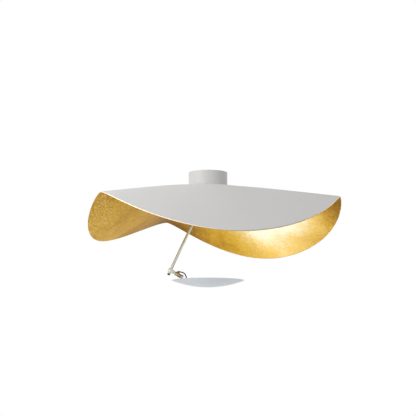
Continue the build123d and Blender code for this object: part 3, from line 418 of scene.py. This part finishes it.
def nipple():
    """Hollow nipple with its thread cut from end to end."""
    low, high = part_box("threaded_nipple")
    steps = round((high[2] - low[2]) / THREAD_PITCH * THREAD_STEPS)
    levels = np.linspace(high[2], low[2], steps + 1)
    rows = []
    for turn in range(THREAD_TURNS):
        angle = 2 * math.pi * turn / THREAD_TURNS
        climb = (levels / THREAD_PITCH + turn / THREAD_TURNS) % 1
        radius = NIPPLE_R - THREAD_DEPTH * np.abs(1 - 2 * climb)
        radius[[0, -1]] = NIPPLE_R - THREAD_DEPTH
        outer = [(r * math.cos(angle), r * math.sin(angle), z) for r, z in zip(radius, levels)]
        bore = NIPPLE_BORE_R * math.cos(angle), NIPPLE_BORE_R * math.sin(angle)
        rows.append(outer + [(*bore, low[2]), (*bore, high[2])])
    points = [point for row in rows for point in row]
    faces = ring_faces(THREAD_TURNS, len(rows[0]))
    mesh_piece("nipple_thread", points, faces, "base", "zinc_steel", "threaded_nipple", smooth=False)


# Steps that build a material
def new_material(name):
    """Material with its tree and its shader."""
    material = bpy.data.materials.new(name)
    material.use_nodes = True
    return material, material.node_tree, material.node_tree.nodes["Principled BSDF"]


def place_in(tree, stretch=(1, 1, 1), turn=(0, 0, 0)):
    """Place on the object, stretched and turned."""
    where = tree.nodes.new("ShaderNodeTexCoord")
    mapping = tree.nodes.new("ShaderNodeMapping")
    mapping.inputs["Scale"].default_value = stretch
    mapping.inputs["Rotation"].default_value = [math.radians(angle) for angle in turn]
    tree.links.new(where.outputs["Object"], mapping.inputs["Vector"])
    return mapping.outputs["Vector"]


def place_along(tree, origin, turn):
    """Place measured from an origin, with Z along an axis that is turned about Y."""
    where = tree.nodes.new("ShaderNodeTexCoord")
    mapping = tree.nodes.new("ShaderNodeMapping")
    mapping.vector_type = "TEXTURE"
    mapping.inputs["Location"].default_value = origin
    mapping.inputs["Rotation"].default_value = (0, math.radians(turn), 0)
    tree.links.new(where.outputs["Object"], mapping.inputs["Vector"])
    return mapping.outputs["Vector"]


def axes_of(tree, place):
    """The X, Y and Z of a place."""
    node = tree.nodes.new("ShaderNodeSeparateXYZ")
    tree.links.new(place, node.inputs["Vector"])
    return node.outputs["X"], node.outputs["Y"], node.outputs["Z"]


def attribute_of(tree, name):
    """A value that the mesh holds at each point."""
    node = tree.nodes.new("ShaderNodeAttribute")
    node.attribute_name = name
    return node.outputs["Fac"]


def noise_of(tree, place, scale, detail=4.0, roughness=0.5, distortion=0.0):
    """Noise at a number of cells to the metre."""
    node = tree.nodes.new("ShaderNodeTexNoise")
    node.inputs["Scale"].default_value = scale
    node.inputs["Detail"].default_value = detail
    node.inputs["Roughness"].default_value = roughness
    node.inputs["Distortion"].default_value = distortion
    tree.links.new(place, node.inputs["Vector"])
    return node.outputs["Fac"]


def cells_of(tree, place, scale):
    """Distance from the middle of a cell, at a number of cells to the metre."""
    node = tree.nodes.new("ShaderNodeTexVoronoi")
    node.inputs["Scale"].default_value = scale
    tree.links.new(place, node.inputs["Vector"])
    return node.outputs["Distance"]


def rings_of(tree, place, scale, distortion):
    """Rings round the Z axis, at a number to the metre."""
    node = tree.nodes.new("ShaderNodeTexWave")
    node.wave_type = "RINGS"
    node.rings_direction = "Z"
    node.inputs["Scale"].default_value = scale
    node.inputs["Distortion"].default_value = distortion
    tree.links.new(place, node.inputs["Vector"])
    return node.outputs["Fac"]


def math_of(tree, operation, first, second=None):
    """One step of arithmetic on a factor, with a number or another factor."""
    node = tree.nodes.new("ShaderNodeMath")
    node.operation = operation
    tree.links.new(first, node.inputs[0])
    if isinstance(second, (int, float)):
        node.inputs[1].default_value = second
    elif second is not None:
        tree.links.new(second, node.inputs[1])
    return node.outputs["Value"]


def sum_of(tree, first, second, share):
    """First factor plus a share of the second."""
    return math_of(tree, "ADD", first, math_of(tree, "MULTIPLY", second, share))


def average_of(tree, first, *others):
    """Average of a first factor of weight 1 and others, each given with its weight."""
    total = first
    for other, weight in others:
        total = sum_of(tree, total, other, weight)
    return math_of(tree, "MULTIPLY", total, 1 / (1 + sum(weight for _, weight in others)))


def range_of(tree, factor, low, high, start=0.25, end=0.75):
    """A factor spread over a range of values."""
    node = tree.nodes.new("ShaderNodeMapRange")
    node.inputs["From Min"].default_value = start
    node.inputs["From Max"].default_value = end
    node.inputs["To Min"].default_value = low
    node.inputs["To Max"].default_value = high
    tree.links.new(factor, node.inputs["Value"])
    return node.outputs["Result"]


def lines_of(tree, factor, width):
    """Thin lines, 1 where a noise crosses its middle and 0 away from there."""
    distance = math_of(tree, "ABSOLUTE", math_of(tree, "SUBTRACT", factor, 0.5))
    return range_of(tree, distance, low=1, high=0, start=0, end=width)


def ramp_of(tree, factor, stops):
    """Colours along a factor, from (place, colour) pairs."""
    node = tree.nodes.new("ShaderNodeValToRGB")
    elements = node.color_ramp.elements
    while len(elements) < len(stops):
        elements.new(0.5)
    for element, (place, colour) in zip(elements, stops):
        element.position = place
        element.color = (*colour, 1)
    tree.links.new(factor, node.inputs["Fac"])
    return node.outputs["Color"]


def shades(colour, spread):
    """Three stops about a colour, a share darker to a share lighter."""
    dark = tuple(part * (1 - spread) for part in colour)
    light = tuple(min(1, part * (1 + spread)) for part in colour)
    return ((0.3, dark), (0.5, colour), (0.7, light))


def mix_of(tree, factor, first, second, mode="MIX"):
    """Two colours mixed by a factor or a number. A mix node's colours are its sockets 6 and 7, and
    its mixed colour is its output 2, because the sockets for numbers and vectors come before them."""
    node = tree.nodes.new("ShaderNodeMix")
    node.data_type = "RGBA"
    node.blend_type = mode
    if isinstance(factor, (int, float)):
        node.inputs[0].default_value = factor
    else:
        tree.links.new(factor, node.inputs[0])
    for socket, colour in ((node.inputs[6], first), (node.inputs[7], second)):
        if isinstance(colour, tuple):
            socket.default_value = (*colour, 1)
        else:
            tree.links.new(colour, socket)
    return node.outputs[2]


def bump_to(tree, shader, height, depth):
    """Relief of a depth in metres."""
    node = tree.nodes.new("ShaderNodeBump")
    node.inputs["Strength"].default_value = 1.0
    node.inputs["Distance"].default_value = depth
    tree.links.new(height, node.inputs["Height"])
    tree.links.new(node.outputs["Normal"], shader.inputs["Normal"])


# Materials
def worn(name, colour, spread, rough, grain, depth, metallic=0.0, specular=0.5, milky=0.0):
    """A finish with slow patches of tone, fine grain, and roughness that follows both."""
    material, tree, shader = new_material(name)
    patches = noise_of(tree, place_in(tree), scale=45, detail=5, roughness=0.6)
    fine = noise_of(tree, place_in(tree), scale=grain, detail=3, roughness=0.6)
    tone = average_of(tree, patches, (fine, 0.4))
    tree.links.new(ramp_of(tree, tone, shades(colour, spread)), shader.inputs["Base Color"])
    tree.links.new(range_of(tree, tone, *rough, start=0.35, end=0.65), shader.inputs["Roughness"])
    shader.inputs["Metallic"].default_value = metallic
    shader.inputs["Specular IOR Level"].default_value = specular
    if milky:
        shader.inputs["Subsurface Weight"].default_value = milky
        shader.inputs["Subsurface Radius"].default_value = MILKY_DEPTH
    bump_to(tree, shader, fine, depth)
    return material


def nickel():
    """Nickel brushed along the arm, with slow tarnish."""
    material, tree, shader = new_material("nickel")
    along = place_in(tree, stretch=ALONG_Z, turn=(0, -ARM_LEAN, 0))
    lines = noise_of(tree, along, scale=900, detail=4, roughness=0.7)
    tarnish = noise_of(tree, place_in(tree), scale=60, detail=5, roughness=0.6)
    tone = average_of(tree, tarnish, (lines, 0.5))
    tree.links.new(ramp_of(tree, tone, shades(NICKEL, 0.2)), shader.inputs["Base Color"])
    tree.links.new(range_of(tree, lines, low=0.28, high=0.42), shader.inputs["Roughness"])
    shader.inputs["Metallic"].default_value = 1.0
    bump_to(tree, shader, lines, depth=0.00003)
    return material


def shade_lacquer():
    """Matt warm white lacquer, sprayed: faint clouds, a fine orange peel and a few specks of dust."""
    material, tree, shader = new_material("shade_lacquer")
    place = place_in(tree)
    clouds = noise_of(tree, place, scale=9)
    peel = noise_of(tree, place, scale=420, detail=2)
    specks = cells_of(tree, place, scale=160)
    colour = ramp_of(tree, clouds, shades(SHADE_WHITE, 0.02))
    dust = ramp_of(tree, specks, ((0.0, DUST), (0.05, WHITE), (1.0, WHITE)))
    tree.links.new(mix_of(tree, 1, colour, dust, "MULTIPLY"), shader.inputs["Base Color"])
    tree.links.new(range_of(tree, clouds, low=0.55, high=0.66), shader.inputs["Roughness"])
    shader.inputs["Specular IOR Level"].default_value = 0.25
    bump_to(tree, shader, peel, depth=0.00003)
    return material


def rim_highlight_edge():
    """Rim face: pale bare metal as a painted highlight line, most at the left and at the far right, and
    elsewhere the lacquer comes round the rim."""
    material, tree, shader = new_material("rim_highlight_edge")
    place = place_in(tree)
    x, _, _ = axes_of(tree, place)
    rim_wobble = noise_of(tree, place, scale=60, roughness=0.6)
    where = sum_of(tree, x, rim_wobble, share=RIM_HIGHLIGHT_WANDER)
    cream = ramp_of(tree, noise_of(tree, place, scale=300, detail=3), shades(RIM_HIGHLIGHT_CREAM, 0.06))
    # Painted highlight line: the rim face turns to pale bare metal at the left and at the far right
    left = range_of(tree, where, 1, 0, *RIM_HIGHLIGHT_LEFT)
    right = range_of(tree, where, 0, 0.8, *RIM_HIGHLIGHT_RIGHT)
    highlit = math_of(tree, "MAXIMUM", left, right)
    tree.links.new(mix_of(tree, highlit, RIM_LACQUER, cream), shader.inputs["Base Color"])
    tree.links.new(highlit, shader.inputs["Metallic"])
    tree.links.new(range_of(tree, rim_wobble, low=0.4, high=0.55), shader.inputs["Roughness"])
    bump_to(tree, shader, rim_wobble, depth=0.00003)
    return material


def gold_leaf_finish():
    """Varnished leaf: slow fields from bronze to pale gold, a crumple of fine folds, long crinkles with
    a painted glint on their crests and painted shade in their beds, small pits where the red ground
    shows, and a thin varnish."""
    material, tree, shader = new_material("gold_leaf")
    place = place_in(tree)
    fields = noise_of(tree, place, scale=9, distortion=0.6)
    folded = place_in(tree, stretch=(1, 0.8, 1))
    crumple = noise_of(tree, folded, scale=75, detail=7, roughness=0.68, distortion=0.8)
    flecks = noise_of(tree, place, scale=330, detail=3, roughness=0.6)
    tone = average_of(tree, fields, (crumple, 1.0), (flecks, 0.35))
    # The tone attribute brings in the painted highlight and the painted shade towards the ridges
    base = ramp_of(tree, math_of(tree, "ADD", tone, attribute_of(tree, "tone")), LEAF_TONES)

    lengthwise = place_in(tree, stretch=(1, 0.22, 0.5), turn=(0, 0, 12))
    crosswise = place_in(tree, stretch=(1, 0.25, 0.5), turn=(0, 0, -28))
    wander = noise_of(tree, lengthwise, scale=210, detail=2, distortion=0.9)
    across = noise_of(tree, crosswise, scale=170, detail=2, distortion=0.9)
    drifts = noise_of(tree, place, scale=16, detail=2)
    gathered = range_of(tree, drifts, low=0, high=0.35, start=0.5, end=0.66)
    where = math_of(tree, "MAXIMUM", gathered, attribute_of(tree, "crinkle"))
    crests = math_of(tree, "MULTIPLY", lines_of(tree, wander, width=0.03), where)
    beds = math_of(tree, "MULTIPLY", lines_of(tree, across, width=0.03), where)
    pits = range_of(tree, flecks, low=0.5, high=0, start=0.3, end=0.4)

    # Painted shade in the crinkles' beds and a painted glint on their crests
    bed_shaded = mix_of(tree, math_of(tree, "MULTIPLY", beds, 0.6), base, LEAF_BED_SHADE)
    glinted = mix_of(tree, crests, bed_shaded, LEAF_CREST_GLINT)
    tree.links.new(mix_of(tree, pits, glinted, LEAF_GROUND), shader.inputs["Base Color"])
    rumpled = sum_of(tree, crumple, flecks, share=0.5)
    satin = range_of(tree, rumpled, low=0.46, high=0.6, start=0.5, end=1.0)
    polished = math_of(tree, "SUBTRACT", satin, math_of(tree, "MULTIPLY", crests, 0.2))
    tree.links.new(polished, shader.inputs["Roughness"])
    shader.inputs["Metallic"].default_value = 1.0
    shader.inputs["Specular Tint"].default_value = (*LEAF_GRAZING, 1)
    shader.inputs["Coat Weight"].default_value = 0.22
    shader.inputs["Coat Roughness"].default_value = 0.22
    fine = sum_of(tree, crumple, flecks, share=0.2)
    relief = sum_of(tree, fine, math_of(tree, "SUBTRACT", crests, beds), share=0.25)
    bump_to(tree, shader, relief, depth=0.0009)
    return material


def dish_lacquer():
    """Pale blue-grey satin lacquer over a spun dish, with the faint rings of the spinning."""
    material, tree, shader = new_material("dish_lacquer")
    place = place_in(tree)
    clouds = noise_of(tree, place, scale=14)
    spun = rings_of(tree, place, scale=190, distortion=0.4)
    peel = noise_of(tree, place, scale=900, detail=2)
    tree.links.new(ramp_of(tree, clouds, shades(DISH_GREY, 0.03)), shader.inputs["Base Color"])
    tree.links.new(range_of(tree, clouds, low=0.4, high=0.5), shader.inputs["Roughness"])
    shader.inputs["Specular IOR Level"].default_value = 0.25
    bump_to(tree, shader, sum_of(tree, peel, spun, share=0.5), depth=0.00002)
    return material


def barrel_metal(name, crest, groove_shade, rough):
    """Turned metal, darkened in the flutes as painted shade, with bright worn crests between them."""
    material, tree, shader = new_material(name)
    place = place_along(tree, KNUCKLE, 90 + BARREL_FALL)
    x, y, _ = axes_of(tree, place)
    angle = math_of(tree, "ARCTAN2", y, x)
    wave = math_of(tree, "COSINE", math_of(tree, "MULTIPLY", angle, BARREL_FLUTES))
    tarnish = noise_of(tree, place, scale=240, detail=5, roughness=0.65)
    height = sum_of(tree, tarnish, wave, share=0.35)
    # Painted shade: a dark colour in the flutes, bright metal on the crests
    tree.links.new(ramp_of(tree, height, ((0.25, groove_shade), (0.75, crest))), shader.inputs["Base Color"])
    tree.links.new(range_of(tree, height, *rough, start=0.9, end=0.2), shader.inputs["Roughness"])
    shader.inputs["Metallic"].default_value = 1.0
    bump_to(tree, shader, tarnish, depth=0.00003)
    return material


@cache
def material_of(slot):
    """The material of a slot, made when it is first asked for."""
    if slot in PLAIN_FINISHES:
        *plain, more = PLAIN_FINISHES[slot]
        return worn(slot, *plain, **more)
    if slot in BARREL_METALS:
        return barrel_metal(slot, **BARREL_METALS[slot])
    own = {
        "shade_lacquer": shade_lacquer,
        "gold_leaf": gold_leaf_finish,
        "nickel": nickel,
        "dish_lacquer": dish_lacquer,
    }
    return own[slot]()


def finish_nodes():
    """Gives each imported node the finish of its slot."""
    slots = {part["node"]: part["material_slot"] for part in frame["record"]["subparts"]}
    for name, node in frame["nodes"].items():
        node.data.materials.clear()
        node.data.materials.append(material_of(slots[name]))
        for polygon in node.data.polygons:
            polygon.material_index = 0


# Stage
def floor():
    """Plain pale floor, a room's height below the ceiling, lifted towards white for the camera."""
    mesh = bpy.data.meshes.new("floor")
    half = FLOOR_SIZE / 2
    corners = [(x * half, y * half, FLOOR_Z) for x, y in ((-1, -1), (1, -1), (1, 1), (-1, 1))]
    mesh.from_pydata(corners, [], [(0, 1, 2, 3)])
    piece = bpy.data.objects.new("floor", mesh)
    bpy.context.scene.collection.objects.link(piece)
    material, tree, shader = new_material("pale_floor")
    tone = noise_of(tree, place_in(tree), scale=3, detail=3)
    tree.links.new(ramp_of(tree, tone, shades(FLOOR_WHITE, 0.01)), shader.inputs["Base Color"])
    shader.inputs["Roughness"].default_value = 0.8
    rays = tree.nodes.new("ShaderNodeLightPath")
    shader.inputs["Emission Color"].default_value = (*WHITE, 1)
    lift = math_of(tree, "MULTIPLY", rays.outputs["Is Camera Ray"], FLOOR_LIFT)
    tree.links.new(lift, shader.inputs["Emission Strength"])
    mesh.materials.append(material)


def world():
    """White behind the object and in its reflections, softer light on it."""
    scene_world = bpy.data.worlds.new("studio")
    bpy.context.scene.world = scene_world
    scene_world.use_nodes = True
    tree = scene_world.node_tree
    tree.nodes.clear()
    output = tree.nodes.new("ShaderNodeOutputWorld")
    seen = tree.nodes.new("ShaderNodeBackground")
    seen.inputs["Color"].default_value = (*WHITE, 1)
    lit = tree.nodes.new("ShaderNodeBackground")
    lit.inputs["Color"].default_value = (*WORLD_LIGHT, 1)
    rays = tree.nodes.new("ShaderNodeLightPath").outputs
    mirrored = math_of(tree, "MAXIMUM", rays["Is Camera Ray"], rays["Is Glossy Ray"])
    white_rays = math_of(tree, "MAXIMUM", mirrored, rays["Is Transmission Ray"])
    mix = tree.nodes.new("ShaderNodeMixShader")
    tree.links.new(white_rays, mix.inputs["Fac"])
    tree.links.new(lit.outputs["Background"], mix.inputs[1])
    tree.links.new(seen.outputs["Background"], mix.inputs[2])
    tree.links.new(mix.outputs["Shader"], output.inputs["Surface"])


def lamps():
    """Soft boxes aimed at the object, which no camera sees."""
    for name, (place, size, power) in LAMPS.items():
        data = bpy.data.lights.new(name, "AREA")
        data.shape = "SQUARE"
        data.size = size
        data.energy = power
        piece = bpy.data.objects.new(name, data)
        bpy.context.scene.collection.objects.link(piece)
        piece.location = place
        piece.rotation_mode = "QUATERNION"
        piece.rotation_quaternion = (Vector(LAMP_AIM) - Vector(place)).to_track_quat("-Z", "Y")
        piece.visible_camera = False


def camera():
    """Camera at the photograph's place and angle."""
    data = bpy.data.cameras.new("camera")
    data.lens = CAMERA_LENS
    piece = bpy.data.objects.new("camera", data)
    piece.location = CAMERA_PLACE
    piece.rotation_euler = (math.radians(90 + CAMERA_UP), 0, 0)
    bpy.context.scene.collection.objects.link(piece)
    bpy.context.scene.camera = piece


finish_nodes()
shade_shell()
gold_leaf()
cable()
nipple()
floor()
world()
lamps()
camera()
bpy.context.scene.view_settings.view_transform = "Standard"
